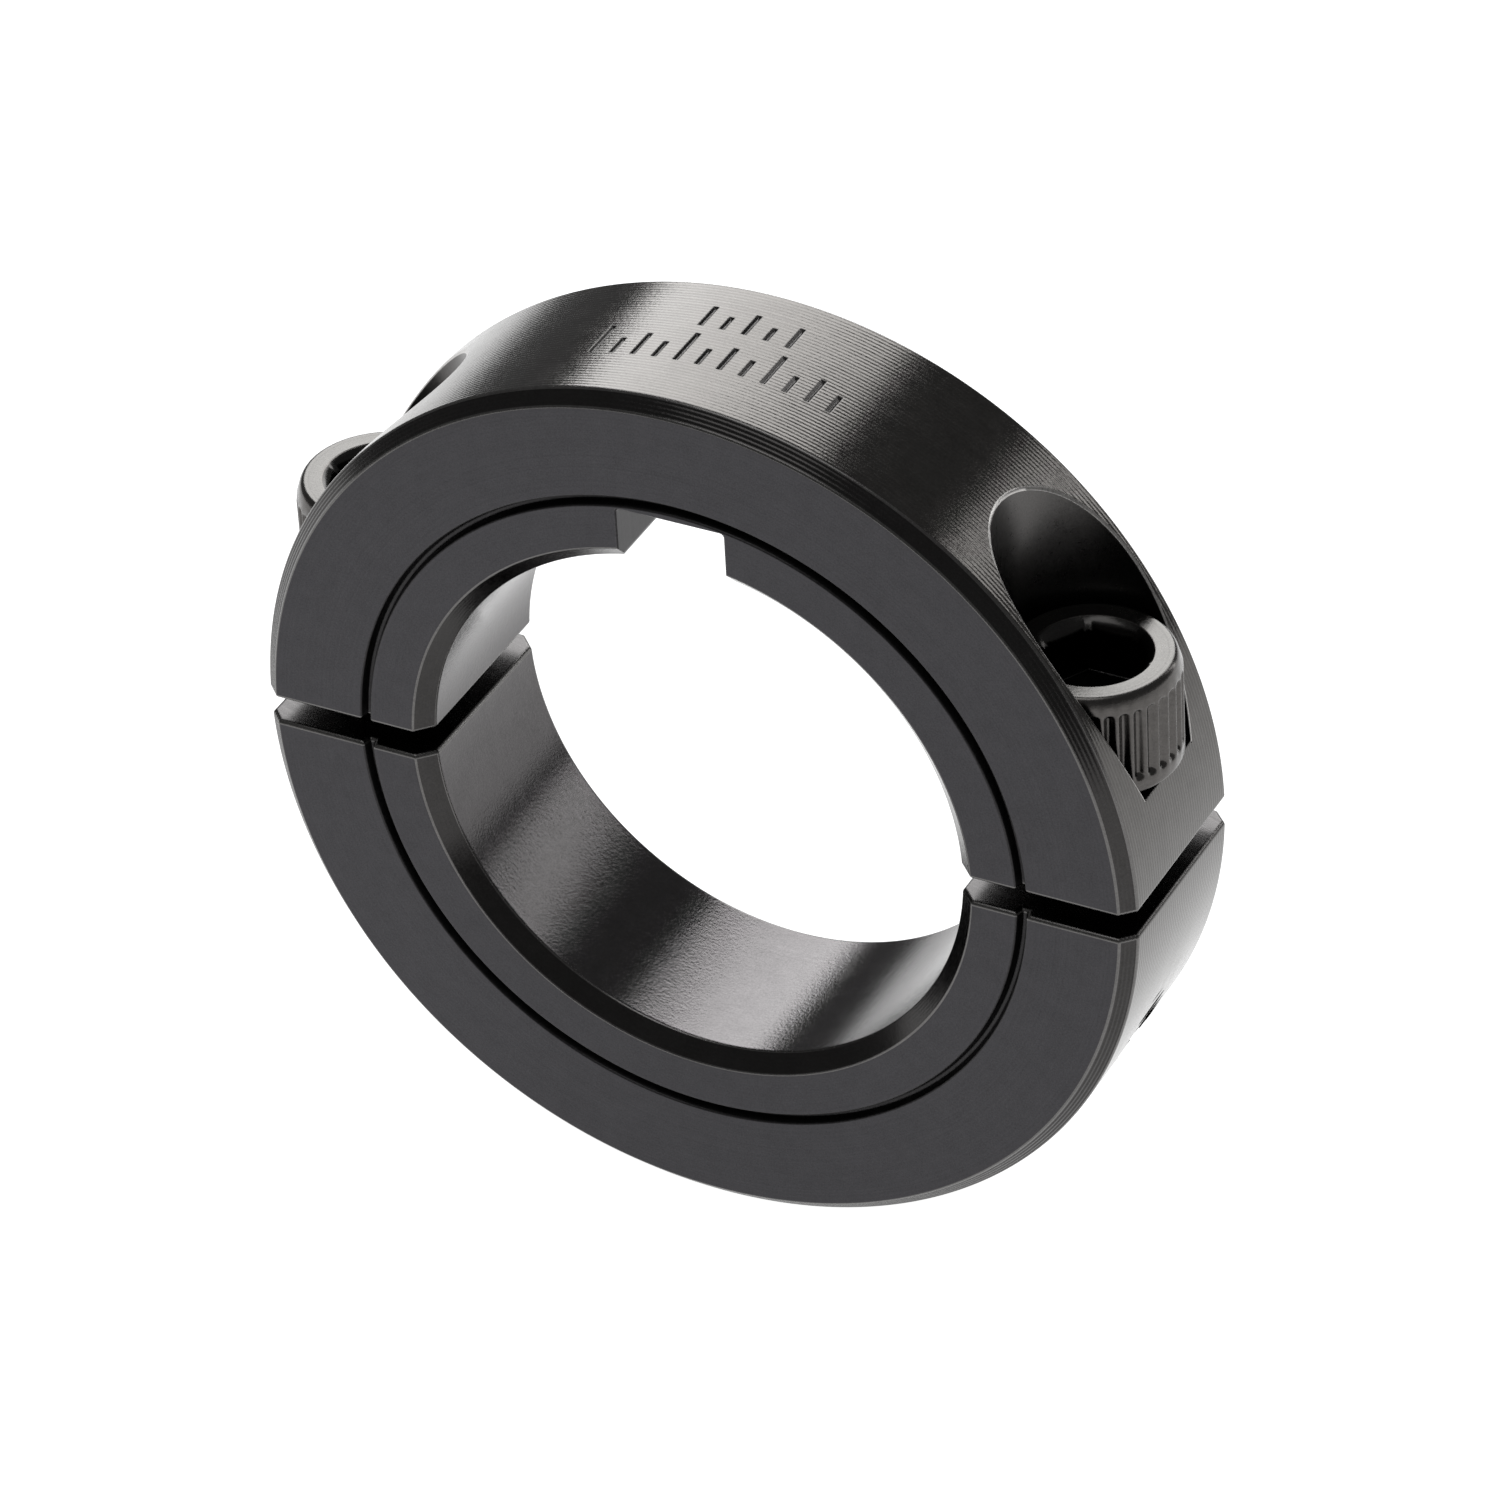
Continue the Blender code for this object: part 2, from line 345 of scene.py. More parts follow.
def keyway_cutter():
    """The slot along Y, flaring a little where it comes out of each face."""
    beyond = 1.0
    rows = []
    for y, grow in (
        (-HALF_W - beyond, beyond + KEY_FLARE),
        (-HALF_W + KEY_FLARE, 0.0),
        (HALF_W - KEY_FLARE, 0.0),
        (HALF_W + beyond, beyond + KEY_FLARE),
    ):
        rows.append([(x, y, z) for x, z in keyway_outline(grow)])
    return loft("keyway", rows)


def mouth_break_cutter(side):
    """A three-sided bar along the pocket's mouth, which breaks its sharp edge."""
    clear = 0.12
    overlap = 0.04
    steps = 160
    limit = acos((sqrt(RING_R**2 - SEAT_Z**2) - SCREW_X) / POCKET_R)
    down = Vector((0.0, 0.0, -1.0))
    rows = []
    for i in range(steps + 1):
        turn = limit + (2.0 * pi - 2.0 * limit) * i / steps
        outward = Vector((cos(turn), sin(turn), 0.0))
        x = SCREW_X + POCKET_R * outward.x
        z = sqrt(max(0.0, RING_R**2 - x * x))
        edge = Vector((x, POCKET_R * outward.y, z))
        skin = Vector((x, 0.0, z)).normalized()
        away = (outward - skin * outward.dot(skin)).normalized()
        first = edge + away * MOUTH_BREAK + (away - down) * overlap
        second = edge + down * MOUTH_BREAK - (away - down) * overlap
        lifted = edge + skin * clear - outward * clear
        rows.append([(side * p.x, p.y, p.z) for p in (first, second, lifted)])
    return loft("mouth_break", rows)


def stroke_points(theta, y_low, y_high):
    """A wedge-shaped engraved stroke across the ring's outside."""
    above = 0.08
    wide = STROKE_HALF_W * (STROKE_DEPTH + above) / STROKE_DEPTH
    across = Vector((-sin(theta), 0.0, cos(theta)))
    outward = Vector((cos(theta), 0.0, sin(theta)))
    spots = []
    for y, slant in ((y_low, STROKE_SLANT), (y_high, -STROKE_SLANT)):
        top = outward * (RING_R + above) + Vector((0.0, y, 0.0))
        bottom = outward * (RING_R - STROKE_DEPTH) + Vector((0.0, y + slant, 0.0))
        spots += [top - across * wide, top + across * wide, bottom]
    return spots


def strokes_cutter():
    """Two rows of plain strokes in place of the maker's stamping."""
    sides = ((0, 2, 1), (3, 4, 5), (0, 1, 4, 3), (1, 2, 5, 4), (2, 0, 3, 5))
    spots = []
    faces = []
    for count, first, low, lengths in STROKE_ROWS:
        for i in range(count):
            base = len(spots)
            high = low + lengths[i % len(lengths)]
            spots += stroke_points(radians(first - STROKE_TURN * i), low, high)
            faces += [tuple(base + k for k in face) for face in sides]
    return faced_out(mesh_from("strokes", spots, faces))


def thread_mesh(name, x, shape, low, turns, steps):
    """A right-hand thread. shape gives the radius at equal steps along one pitch.

    Its points climb by one pitch in a turn, so the last one of a turn joins the
    first one of the turn above. A cone closes each end.
    """
    per_turn = len(shape)
    levels = per_turn * turns + 1
    start = HEAD_LOW_Z - PITCH * ceil((HEAD_LOW_Z - low) / PITCH)
    points = []
    for level in range(levels):
        for i in range(steps):
            angle = 2.0 * pi * i / steps
            z = start + PITCH * (i / steps + level / per_turn)
            radius = shape[level % per_turn]
            points.append((x + radius * cos(angle), radius * sin(angle), z))

    def at(level, i):
        return level * steps + i

    faces = []
    for level in range(levels - 1):
        for i in range(steps):
            if i + 1 < steps:
                right = (at(level, i + 1), at(level + 1, i + 1))
            elif level + per_turn + 1 < levels:
                right = (at(level + per_turn, 0), at(level + per_turn + 1, 0))
            else:
                continue
            faces.append((at(level, i), right[0], right[1], at(level + 1, i)))
    low_loop = [at(0, i) for i in range(steps)] + [at(j, 0) for j in range(per_turn, 0, -1)]
    high_loop = [at(levels - 1, i) for i in range(steps)]
    high_loop += [at(levels - 1 - j, steps - 1) for j in range(1, per_turn + 1)]
    for loop, height in (
        (low_loop, start - PITCH),
        (high_loop, start + PITCH * (turns + 2)),
    ):
        tip = len(points)
        points.append((x, 0.0, height))
        for a, b in zip(loop, loop[1:] + loop[:1]):
            faces.append((a, b, tip))
    return faced_out(mesh_from(name, points, faces))


def keyed_half():
    """The upper half ring: keyway, screw pockets, clearance holes and strokes."""
    half = new_object("keyed_half_ring", half_ring_mesh("keyed_half_ring", 1.0))
    below = -1.0
    above = 30.0
    cutters = [keyway_cutter()]
    for side in (1.0, -1.0):
        centre = (side * SCREW_X, 0.0)
        cutters += [
            cylinder_mesh("pocket", centre, POCKET_R, POCKET_R, SEAT_Z, above, 180),
            cylinder_mesh("clearance", centre, CLEARANCE_R, CLEARANCE_R, below, SEAT_Z + 2.0, 96),
            mouth_break_cutter(side),
        ]
    cutters.append(strokes_cutter())
    return apply_boolean(half, cutters)


def tapped_half():
    """The lower half ring: a tapped hole with a countersunk mouth under each screw."""
    half = new_object("tapped_half_ring", half_ring_mesh("tapped_half_ring", -1.0))
    crest = THREAD_R + THREAD_PLAY
    narrow = crest - THREAD_DEPTH - 0.1
    low = -HALF_KERF - TAP_LEAD_DEPTH
    high = -HALF_KERF + 1.0
    # Turned a little, so that none of the cone's edges lies along one of the thread's
    askew = 0.03
    cutters = []
    for side in (1.0, -1.0):
        x = side * SCREW_X
        cutters += [
            thread_mesh("tap", x, thread_shape(crest), TAP_LOW_Z, turns=32, steps=40),
            cylinder_mesh("tap_lead", (x, 0.0), narrow, TAP_LEAD_R, low, high, 72, askew),
        ]
    return apply_boolean(half, cutters)


# ---------------------------------------------------------------- screws


def thread_shape(crest):
    """The thread's radius at eight equal steps along one pitch, crest first."""
    third = THREAD_DEPTH / 3.0
    down = [crest, crest - third, crest - 2.0 * third, crest - THREAD_DEPTH]
    return [crest] + down + down[:0:-1]


def flute_depth(angle):
    """How deep the knurl is at an angle round the head, as a share of its depth."""
    return 0.5 - 0.5 * cos(angle * KNURL_COUNT)


def head_rows():
    """The head's outside from its bearing face to its top ring: (radius, z, flute)."""
    low = HEAD_LOW_Z
    high = HEAD_TOP_Z
    # Two rings on the bearing face, and one on the top, keep their shading flat
    rows = [(3.6, low, 0.0), (4.52, low, 0.0)]
    for angle in quarter(4):
        radius = HEAD_R - HEAD_FOOT * (1.0 - sin(angle))
        rows.append((radius, low + HEAD_FOOT * (1.0 - cos(angle)), 0.0))
    fade = [0.5 - 0.5 * cos(pi * i / FADE_STEPS) for i in range(FADE_STEPS + 1)]
    for i, share in enumerate(fade):
        rows.append((HEAD_R, low + KNURL_START + 0.09 * i, share))
    rows += [(HEAD_R, low + KNURL_FULL, 1.0), (HEAD_R, high - KNURL_FULL, 1.0)]
    for i, share in enumerate(reversed(fade)):
        rows.append((HEAD_R - 0.008 * i, high - KNURL_END + 0.08 * i, share))
    shoulder = HEAD_R - CROWN_INSET
    rows.append((shoulder, high - CROWN_HEIGHT, 0.0))
    first = radians(CROWN_TILT)
    reach = (shoulder - RING_TOP_R) / cos(first)
    rise = CROWN_HEIGHT / (1.0 - sin(first))
    for i in range(1, CROWN_STEPS + 1):
        angle = first + (0.5 * pi - first) * i / CROWN_STEPS
        rows.append((RING_TOP_R + reach * cos(angle), high - rise * (1.0 - sin(angle)), 0.0))
    rows.append((RING_TOP_R - 0.06, high, 0.0))
    return rows


def head_mesh(name, x):
    steps = KNURL_COUNT * FLUTE_STEPS
    rows = []
    for radius, z, flute in head_rows():
        row = []
        for i in range(steps):
            angle = 2.0 * pi * i / steps
            reach = radius - KNURL_DEPTH * flute * flute_depth(angle)
            row.append((x + reach * cos(angle), reach * sin(angle), z))
        rows.append(row)
    return loft(name, rows)


def screw_head(name, x):
    """The knurled head with its countersunk hex socket, drilled to a point."""
    head = new_object(name, head_mesh(name, x))
    top = HEAD_TOP_Z
    floor = top - SOCKET_DEPTH
    mouth = SOCKET_MOUTH_R
    hex_r = 0.5 * SOCKET_AF / cos(radians(30.0))
    cutters = []
    # Each cutter's radius and height at its low and high ends, and its sides
    for cutter, radius_low, radius_high, low, high, steps in (
        ("lead", 1.5, mouth + 0.5, top - mouth + 1.5, top + 0.5, 120),
        ("lip", mouth, mouth + 0.3, top - 0.06, top + 0.24, 120),
        ("hex", hex_r, hex_r, floor, top + 1.0, 6),
        ("drill", 0.05, 2.1, floor - 0.7, floor + 0.1, 60),
    ):
        cutters.append(cylinder_mesh(cutter, (x, 0.0), radius_low, radius_high, low, high, steps))
    return apply_boolean(head, cutters)


def screw_shank(name, x):
    """The threaded length, from a chamfered tip up into the head."""
    low = HEAD_LOW_Z - SCREW_LENGTH
    mesh = thread_mesh(name, x, thread_shape(THREAD_R), low - 2.0 * PITCH, turns=21, steps=48)
    shank = new_object(name, mesh)
    tip = THREAD_R - 0.7
    outside = THREAD_R + 0.05
    rows = []
    for radius, z in (
        (tip, low),
        (tip + 0.15, low + 0.03),
        (outside, low + TIP_CHAMFER),
        (outside, HEAD_LOW_Z + 0.2),
    ):
        rows.append(circle((x, 0.0), radius, z, 96))
    return apply_boolean(shank, [loft("envelope", rows)], "INTERSECT")


# ---------------------------------------------------------------- shading

# How near to a surface, in millimetres, a face or a corner that lies on it is
ON_FLAT = 0.02
ON_CUT = 0.05
ON_SECTION = 0.004
ON_WALL = 0.01


def section_field(radii, ys):
    """For points (radius, y): distance to the ring's section, and its normal there."""
    outline = ring_section()
    normals = np.array([tuple(n) for n in outline_normals(outline)])
    starts = np.array([tuple(p) for p in outline])
    alongs = np.roll(starts, -1, axis=0) - starts
    next_normals = np.roll(normals, -1, axis=0)
    best = np.full(len(radii), np.inf)
    found = np.zeros((len(radii), 2))
    spots = np.stack([radii, ys], 1)
    for start, along, normal, next_normal in zip(starts, alongs, normals, next_normals):
        share = np.clip(((spots - start) @ along) / (along @ along), 0.0, 1.0)[:, None]
        gap = np.linalg.norm(spots - start - share * along, axis=1)
        mixed = normal * (1.0 - share) + next_normal * share
        closer = gap < best
        best[closer] = gap[closer]
        found[closer] = mixed[closer]
    found /= np.linalg.norm(found, axis=1)[:, None]
    return best, found


def corner_data(mesh):
    """Each face corner's point in millimetres, its normal and its face's normal."""
    corners = len(mesh.loops)
    vertex = np.empty(corners, np.int32)
    mesh.loops.foreach_get("vertex_index", vertex)
    points = np.empty(len(mesh.vertices) * 3)
    mesh.vertices.foreach_get("co", points)
    points = points.reshape(-1, 3)[vertex] / MM
    smooth = np.empty(corners * 3)
    mesh.corner_normals.foreach_get("vector", smooth)
    totals = np.empty(len(mesh.polygons), np.int32)
    mesh.polygons.foreach_get("loop_total", totals)
    flat = np.empty(len(mesh.polygons) * 3)
    mesh.polygons.foreach_get("normal", flat)
    return points, smooth.reshape(-1, 3), np.repeat(flat.reshape(-1, 3), totals, axis=0)


def weigh_normals(thing, angle):
    """Smooth shading that keeps flat faces flat, broken at edges above the angle."""
    mesh = thing.data
    mesh.shade_smooth()
    mesh.set_sharp_from_angle(angle=radians(angle))
    step = thing.modifiers.new("weigh", "WEIGHTED_NORMAL")
    step.mode = "FACE_AREA"
    step.keep_sharp = True
    apply_modifiers(thing)


def ring_normals(thing):
    """True normals of the turned surfaces and pocket walls, over the weighted ones."""
    mesh = thing.data
    points, normals, flat = corner_data(mesh)
    x, y, z = points.T
    radii = np.hypot(x, z)
    gap, section = section_field(radii, y)
    turned = np.stack([section[:, 0] * x / radii, section[:, 1], section[:, 0] * z / radii], 1)
    on_section = (gap < ON_SECTION) & ((turned * flat).sum(1) > 0.9)
    normals[on_section] = turned[on_section]
    for side in (1.0, -1.0):
        offset = points[:, :2] - np.array([side * SCREW_X, 0.0])
        reach = np.linalg.norm(offset, axis=1)
        wall = np.zeros_like(normals)
        wall[:, :2] = -offset / np.maximum(reach, 1e-6)[:, None]
        facing = ((wall * flat).sum(1) > 0.98) & (z > 0.5)
        for radius in (POCKET_R, CLEARANCE_R):
            on_wall = facing & (np.abs(reach - radius) < ON_WALL)
            normals[on_wall] = wall[on_wall]
    mesh.normals_split_custom_set([tuple(n) for n in normals])


SECTION_CORNERS = (
    (BORE_R + BORE_CHAMFER, HALF_W),
    (BORE_R, HALF_W - BORE_CHAMFER),
    (RING_R - RING_CHAMFER, HALF_W),
    (RING_R, HALF_W - RING_CHAMFER),
)


def on_edge(radius, level, height, normal, radial):
    """Whether a face belongs to a broken edge, where the oxide is lighter: partly worn thin and
    partly a painted highlight.
    """
    if HALF_KERF < height < HALF_KERF + END_BREAK and 0.1 < abs(normal.z) < 0.97:
        return True
    nearest = min(hypot(radius - r, level - y) for r, y in SECTION_CORNERS)
    return nearest < 0.55 * EDGE_BREAK and max(abs(radial), abs(normal.y)) < 0.995


def ring_zone(point, normal):
    """Which finish a face of a ring half has, by name.

    A number compared with a part of the normal is a cosine.
    """
    radius = hypot(point.x, point.z) / MM
    level = abs(point.y) / MM
    height = abs(point.z) / MM
    beside = hypot(abs(point.x) / MM - SCREW_X, point.y / MM)
    radial = Vector((point.x, 0.0, point.z)).normalized().dot(normal)
    # The pocket mouth's broken edge takes the pale rim finish, a painted highlight over worn oxide
    mouth = point.z > 0.0 and radius > RING_R - 0.3 and abs(beside - POCKET_R) < 0.25
    if mouth and radial < 0.97 and abs(normal.z) > 0.05:
        return "rim"
    if on_edge(radius, level, height, normal, radial):
        return "edge"
    if level > HALF_W - ON_FLAT and abs(normal.y) > 0.95:
        return "face"
    if height < HALF_KERF + ON_CUT and abs(normal.z) > 0.9:
        return "split"
    if radius > RING_R - RING_CHAMFER - ON_CUT and radial > 0.4:
        return "outside" if radial > 0.95 else "chamfer"
    if radius < BORE_R + BORE_CHAMFER + ON_CUT and radial < -0.4:
        return "bore" if radial < -0.95 else "chamfer"
    # Pocket walls take a lightened copy of the milled finish, painted light inside the pockets
    if point.z > 0.0 and beside < POCKET_R + ON_CUT:
        return "pocket"
    return "milled"


def screw_zone(point, normal):
    """Which finish a face of a screw head has, by name."""
    height = point.z / MM
    axis_x = SCREW_X if point.x > 0.0 else -SCREW_X
    radius = hypot(point.x / MM - axis_x, point.y / MM)
    if height > HEAD_TOP_Z - ON_FLAT and normal.z > 0.9:
        return "crown"
    # The socket takes a darker finish than the head, painted shade inside the socket
    if radius < SOCKET_MOUTH_R and height > HEAD_LOW_Z + 1.0:
        return "socket"
    return "knurl"


# ---------------------------------------------------------------- materials


class Nodes:
    """Builds one material's node tree."""

    def __init__(self, name):
        self.material = bpy.data.materials.new(name)
        self.material.use_nodes = True
        self.tree = self.material.node_tree
        self.shader = self.tree.nodes["Principled BSDF"]

    def link(self, source, target):
        self.tree.links.new(source, target)

    def put(self, node, name, value):
        """Sets a socket to a value, or links it to another node's socket."""
        socket = node.inputs[name]
        if isinstance(value, bpy.types.NodeSocket):
            self.link(value, socket)
        else:
            socket.default_value = value

    def math(self, operation, first, second=0.0, third=0.0):
        node = self.tree.nodes.new("ShaderNodeMath")
        node.operation = operation
        for i, value in enumerate((first, second, third)):
            self.put(node, i, value)
        return node.outputs[0]

    def noise(self, scale, detail=2.0, rough=0.5, w=None):
        """Noise over the object, or along w alone where that is given."""
        node = self.tree.nodes.new("ShaderNodeTexNoise")
        if w is not None:
            node.noise_dimensions = "1D"
            self.put(node, "W", w)
        else:
            self.put(node, "Vector", self.place())
        node.inputs["Scale"].default_value = scale
        node.inputs["Detail"].default_value = detail
        node.inputs["Roughness"].default_value = rough
        return node.outputs[0]

    def place(self):
        """The point in millimetres in the object's own frame."""
        if not hasattr(self, "placed"):
            source = self.tree.nodes.new("ShaderNodeTexCoord")
            scaled = self.tree.nodes.new("ShaderNodeVectorMath")
            scaled.operation = "SCALE"
            scaled.inputs["Scale"].default_value = 1.0 / MM
            self.link(source.outputs["Object"], scaled.inputs[0])
            self.placed = scaled.outputs[0]
        return self.placed

    def axes(self):
        node = self.tree.nodes.new("ShaderNodeSeparateXYZ")
        self.link(self.place(), node.inputs[0])
        return node.outputs

    def reach(self, first, second):
        """The distance from an axis, from the coordinates across it."""
        squares = self.math("MULTIPLY_ADD", second, second, self.math("MULTIPLY", first, first))
        return self.math("SQRT", squares)

    def ramp(self, value, low, high, start, end):
        """Runs from start to end as value goes from low to high."""
        node = self.tree.nodes.new("ShaderNodeMapRange")
        for name, given in (
            ("Value", value),
            ("From Min", low),
            ("From Max", high),
            ("To Min", start),
            ("To Max", end),
        ):
            self.put(node, name, given)
        return node.outputs[0]

    def mix(self, share, first, second):
        node = self.tree.nodes.new("ShaderNodeMix")
        node.data_type = "RGBA"
        self.put(node, 0, share)
        for index, colour in ((6, first), (7, second)):
            if isinstance(colour, tuple):
                colour = (*colour, 1.0)
            self.put(node, index, colour)
        return node.outputs[2]

    def edges(self, radius):
        """How near the point is to an edge, from 0 to 1, and the normal rounded there."""
        bevel = self.tree.nodes.new("ShaderNodeBevel")
        bevel.samples = 4
        bevel.inputs["Radius"].default_value = radius * MM
        geometry = self.tree.nodes.new("ShaderNodeNewGeometry")
        dot = self.tree.nodes.new("ShaderNodeVectorMath")
        dot.operation = "DOT_PRODUCT"
        self.link(bevel.outputs[0], dot.inputs[0])
        self.link(geometry.outputs["Normal"], dot.inputs[1])
        return self.ramp(dot.outputs["Value"], 0.995, 0.86, 0.0, 1.0), bevel.outputs[0]

    def bump(self, height, distance, normal):
        node = self.tree.nodes.new("ShaderNodeBump")
        node.inputs["Strength"].default_value = 1.0
        node.inputs["Distance"].default_value = distance * MM
        self.link(height, node.inputs["Height"])
        self.link(normal, node.inputs["Normal"])
        return node.outputs[0]


def cut_direction(nodes, kind):
    """The distance, in millimetres, that runs across the tool marks of a surface."""
    x, y, z = nodes.axes()[:3]
    if kind == "faced":
        return nodes.reach(x, z)
    if kind == "milled":
        return nodes.reach(nodes.math("SUBTRACT", nodes.math("ABSOLUTE", x), SCREW_X), y)
    if kind == "sawn":
        return nodes.math("MULTIPLY_ADD", x, 0.35, y)
    if kind == "formed":
        return z
    return y


def oxide(name, base, rough, marks, grain_depth):
    """Black oxide over machined steel.

    base is its colour and rough its mean roughness. marks says how it was cut:
    (kind, pitch, depth, streaks, wave), and grain_depth how deep the fine grain is.
    Lengths are in millimetres. streaks is how far the marks show in the colour, and
    wave how regular they are.
    """
    nodes = Nodes(name)
    kind, pitch, depth, streaks, wave = marks
    across = cut_direction(nodes, kind)
    blotches = nodes.noise(0.9, 4.0, 0.6)
    grain = nodes.noise(5.5, 4.0, 0.62)
    specks = nodes.noise(11.0, 2.0, 0.6)
    drift = nodes.math("MULTIPLY_ADD", blotches, 0.03, across)
    lines = nodes.noise(1.0 / pitch, 3.0, 0.6, w=drift)
    broad = nodes.noise(0.20 / pitch, 2.0, 0.5, w=across)
    ripple = nodes.math("SINE", nodes.math("MULTIPLY", drift, 2.0 * pi / pitch))
    feed = nodes.math("MULTIPLY_ADD", ripple, wave, nodes.math("MULTIPLY", lines, 1.0 - wave))

    # Colour: every pattern darkens or lightens the oxide, and edges are lightened, partly as worn
    # oxide and partly as a painted highlight
    tints = ((blotches, 0.35), (specks, 0.50), (grain, 0.35))
    tone = nodes.math("MULTIPLY", lines, streaks)
    for pattern, share in tints:
        tone = nodes.math("MULTIPLY_ADD", pattern, share, tone)
    middle = 0.5 * (streaks + sum(share for _, share in tints))
    deep = tuple(c * 0.70 for c in base)
    high = tuple(c * 1.32 for c in base)
    colour = nodes.mix(nodes.ramp(tone, middle - 0.32, middle + 0.32, 0.0, 1.0), deep, high)
    # Painted highlight with wear: near every edge the colour is lifted, in patches, towards a pale
    # grey
    edge, rounded_normal = nodes.edges(0.11)
    wear_and_sheen = nodes.math("MULTIPLY", edge, nodes.ramp(grain, 0.42, 0.62, 0.10, 0.65))
    worn_and_sheen = tuple(min(0.6, 0.05 + 1.9 * c) for c in base)
    nodes.put(nodes.shader, "Base Color", nodes.mix(wear_and_sheen, colour, worn_and_sheen))
    nodes.shader.inputs["Metallic"].default_value = 1.0

    # Roughness varies round its mean
    spread = rough
    for pattern, share in ((broad, 0.25 * streaks), (grain, 0.16), (blotches, 0.10)):
        spread = nodes.math("MULTIPLY_ADD", nodes.math("SUBTRACT", pattern, 0.5), share, spread)
    nodes.put(nodes.shader, "Roughness", nodes.math("MAXIMUM", spread, 0.06))

    fine = nodes.bump(grain, grain_depth, rounded_normal)
    nodes.put(nodes.shader, "Normal", nodes.bump(feed, depth, fine))
    return nodes.material


RING_FINISHES = (
    ("face", (0.0475, 0.0464, 0.0498), 0.38, ("faced", 0.17, 0.0014, 0.20, 0.30), 0.0046),
    ("outside", (0.072, 0.069, 0.066), 0.15, ("turned", 0.26, 0.0036, 0.25, 0.50), 0.0060),
    ("bore", (0.070, 0.067, 0.068), 0.13, ("turned", 0.24, 0.0006, 0.15, 0.20), 0.0110),
    ("chamfer", (0.040, 0.0385, 0.038), 0.20, ("turned", 0.14, 0.0012, 0.35, 0.30), 0.0030),
    # edge: a lighter oxide on the broken edges, partly worn oxide and partly a painted highlight
    ("edge", (0.115, 0.112, 0.110), 0.24, ("turned", 0.30, 0.0004, 0.20, 0.10), 0.0030),
    # rim: pale grey along the pocket mouth, a painted highlight over worn oxide
    ("rim", (0.420, 0.410, 0.400), 0.30, ("turned", 0.30, 0.0004, 0.20, 0.10), 0.0030),
    ("split", (0.060, 0.058, 0.058), 0.26, ("sawn", 0.16, 0.0012, 0.50, 0.10), 0.0014),
    # pocket: the milled finish lightened, painted light inside the screw pockets
    ("pocket", (0.085, 0.082, 0.080), 0.30, ("milled", 0.16, 0.0012, 0.40, 0.10), 0.0030),
    # milled: the same finish darkened, painted shade in the keyway, holes and strokes
    ("milled", (0.032, 0.031, 0.032), 0.34, ("milled", 0.16, 0.0012, 0.40, 0.10), 0.0030),
)
HEAD_FINISHES = (
    ("knurl", (0.080, 0.076, 0.073), 0.23, ("formed", 0.40, 0.0006, 0.30, 0.10), 0.0030),
    ("crown", (0.082, 0.080, 0.077), 0.24, ("milled", 0.12, 0.0008, 0.40, 0.10), 0.0045),
    # socket: darker than the rest of the head, painted shade inside the socket
    ("socket", (0.034, 0.033, 0.032), 0.20, ("formed", 0.25, 0.0012, 0.40, 0.10), 0.0030),
)
THREAD_FINISH = ((0.070, 0.066, 0.063), 0.27, ("formed", 0.20, 0.0006, 0.30, 0.10), 0.0030)


def dress(thing, prefix, finishes, zone_of):
    """Gives the object one oxide for each zone, and each face its zone's."""
    for zone, *finish in finishes:
        thing.data.materials.append(oxide(prefix + "_" + zone, *finish))
    order = [zone for zone, *_ in finishes]
    for face in thing.data.polygons:
        face.material_index = order.index(zone_of(face.center, face.normal))


# ---------------------------------------------------------------- stage


def stage_material(name, grey, glow):
    """A matt, slightly uneven grey, kept pale by a white light of its own."""
    nodes = Nodes(name)
    tint = nodes.mix(nodes.noise(0.01, 2.0), (grey,) * 3, (0.985 * grey,) * 3)
    nodes.put(nodes.shader, "Base Color", tint)
    nodes.shader.inputs["Roughness"].default_value = 0.85
    nodes.shader.inputs["Specular IOR Level"].default_value = 0.2
    nodes.shader.inputs["Emission Color"].default_value = (1.0, 1.0, 1.0, 1.0)
    nodes.shader.inputs["Emission Strength"].default_value = glow
    return nodes.material


def pale_floor():
    """A large pale disc just under the collar."""
    rim = circle((0.0, 0.0), 420.0, -RING_R - 0.02, 64)
    floor = new_object("floor", mesh_from("floor", rim, [tuple(range(len(rim)))]))
    floor.data.materials.append(stage_material("pale_floor", 0.5, 0.98))


def towards(azimuth, elevation, distance):
    """A point seen from the origin; azimuth turns from +Y towards +X, in degrees."""
    az = radians(azimuth)
    el = radians(elevation)
    level = distance * cos(el)
    return Vector((level * sin(az), level * cos(az), distance * sin(el)))


def turned_to(place, target):
    """A matrix at place that looks at target, upright, as cameras and lights do."""
    turn = (place - target).to_track_quat("Z", "Y").to_matrix().to_4x4()
    return Matrix.Translation(place) @ turn


def soft_light(name, place, target, width, height, power):
    """A rectangular light; its sizes are in metres and its power in watts."""
    light = bpy.data.lights.new(name, "AREA")
    light.shape = "RECTANGLE"
    light.size = width
    light.size_y = height
    light.energy = power
    lamp = bpy.data.objects.new(name, light)
    lamp.visible_camera = False
    bpy.context.scene.collection.objects.link(lamp)
    lamp.matrix_world = turned_to(place, target)


def studio_lights():
    """A key light behind the collar, one above it and an upright strip beside it."""
    middle = Vector((0.0, 0.0, 0.0))
    soft_light("key", towards(-21.5, 31.0, 0.60), middle, 0.39, 0.33, 2.20)
    soft_light("top", towards(200.0, 80.0, 0.90), middle, 0.50, 0.50, 1.60)
    lift = Vector((0.0, 0.0, 0.057))
    soft_light("strip", towards(39.31, 0.0, 0.1433) + lift, lift, 0.014, 0.112, 0.0200)


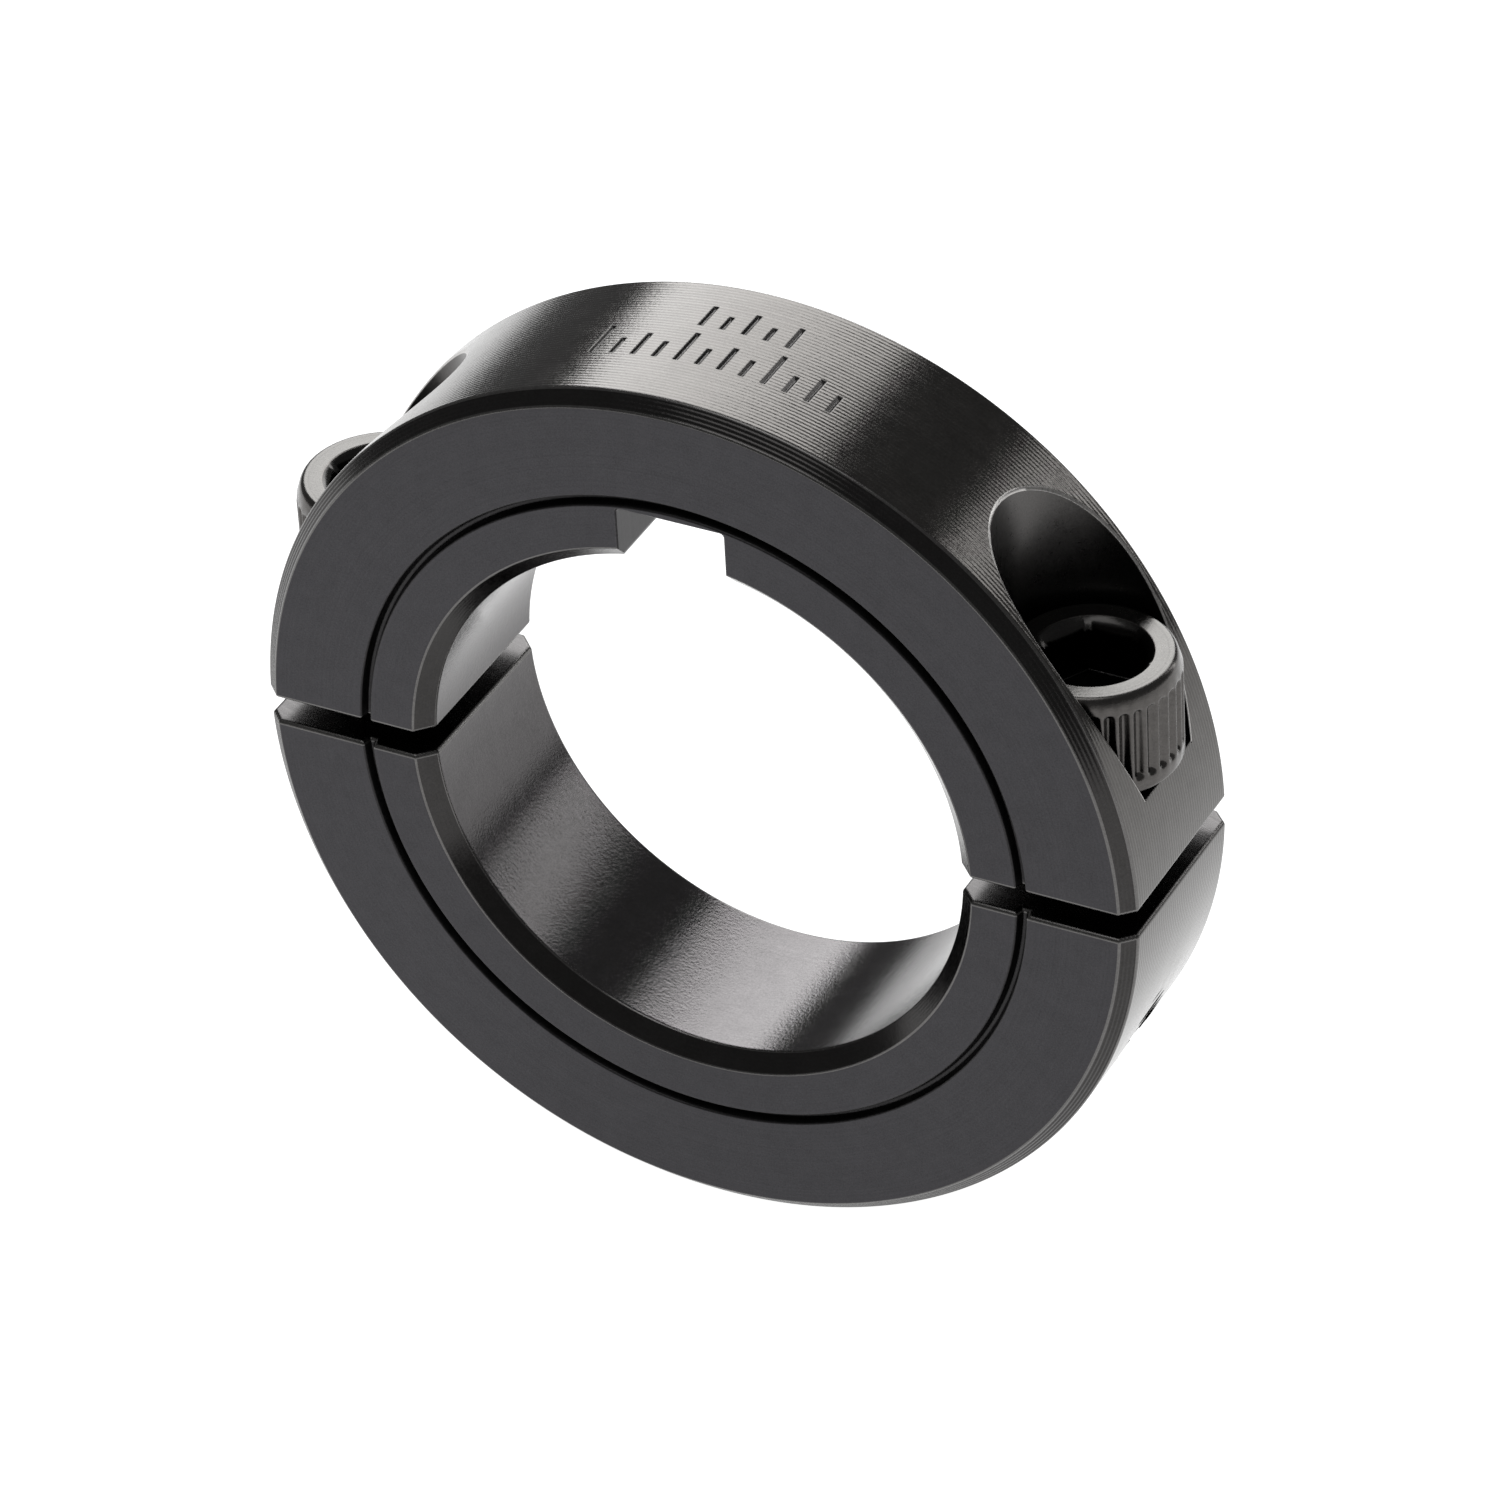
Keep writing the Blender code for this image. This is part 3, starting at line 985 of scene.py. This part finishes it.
def studio_world():
    """A world that looks white but lights the collar only faintly."""
    world = bpy.data.worlds.new("studio")
    world.use_nodes = True
    tree = world.node_tree
    back = tree.nodes["Background"]
    back.inputs["Color"].default_value = (1.0, 1.0, 1.0, 1.0)
    path = tree.nodes.new("ShaderNodeLightPath")
    level = tree.nodes.new("ShaderNodeMapRange")
    level.inputs["To Min"].default_value = 0.18
    level.inputs["To Max"].default_value = 1.0
    tree.links.new(path.outputs["Is Camera Ray"], level.inputs["Value"])
    tree.links.new(level.outputs[0], back.inputs["Strength"])
    bpy.context.scene.world = world


def photo_camera():
    """The camera at the photograph's viewing angle, found by fitting the ring's edges."""
    place = towards(151.117, 35.571, 0.4217)
    aim = Vector((0.38, 0.30, 0.11)) * MM
    roll = radians(-3.31)
    camera = bpy.data.cameras.new("photo_view")
    camera.lens = 186.74
    camera.sensor_width = 36.0
    camera.clip_start = 0.01
    camera.clip_end = 20.0
    holder = bpy.data.objects.new("photo_view", camera)
    bpy.context.scene.collection.objects.link(holder)
    holder.matrix_world = turned_to(place, aim) @ Matrix.Rotation(roll, 4, "Z")
    bpy.context.scene.camera = holder


# ---------------------------------------------------------------- assembly


def ring_pieces():
    for build, half in ((tapped_half, "tapped"), (keyed_half, "keyed")):
        piece = build()
        weigh_normals(piece, 28.0)
        ring_normals(piece)
        dress(piece, half + "_half", RING_FINISHES, ring_zone)
        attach(piece, half + "_half")
        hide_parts("collar_half_" + half)


def screw_pieces():
    for side, x in (("right", SCREW_X), ("left", -SCREW_X)):
        head = screw_head("screw_" + side + "_head", x)
        weigh_normals(head, 50.0)
        dress(head, "screw_" + side, HEAD_FINISHES, screw_zone)
        shank = screw_shank("screw_" + side + "_shank", x)
        weigh_normals(shank, 40.0)
        shank.data.materials.append(oxide("screw_" + side + "_thread", *THREAD_FINISH))
        for piece in (head, shank):
            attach(piece, "screw_" + side)
        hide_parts("cap_screw_" + side)


def main():
    bpy.context.scene.view_settings.view_transform = "Standard"
    ring_pieces()
    screw_pieces()
    pale_floor()
    studio_world()
    studio_lights()
    photo_camera()


main()
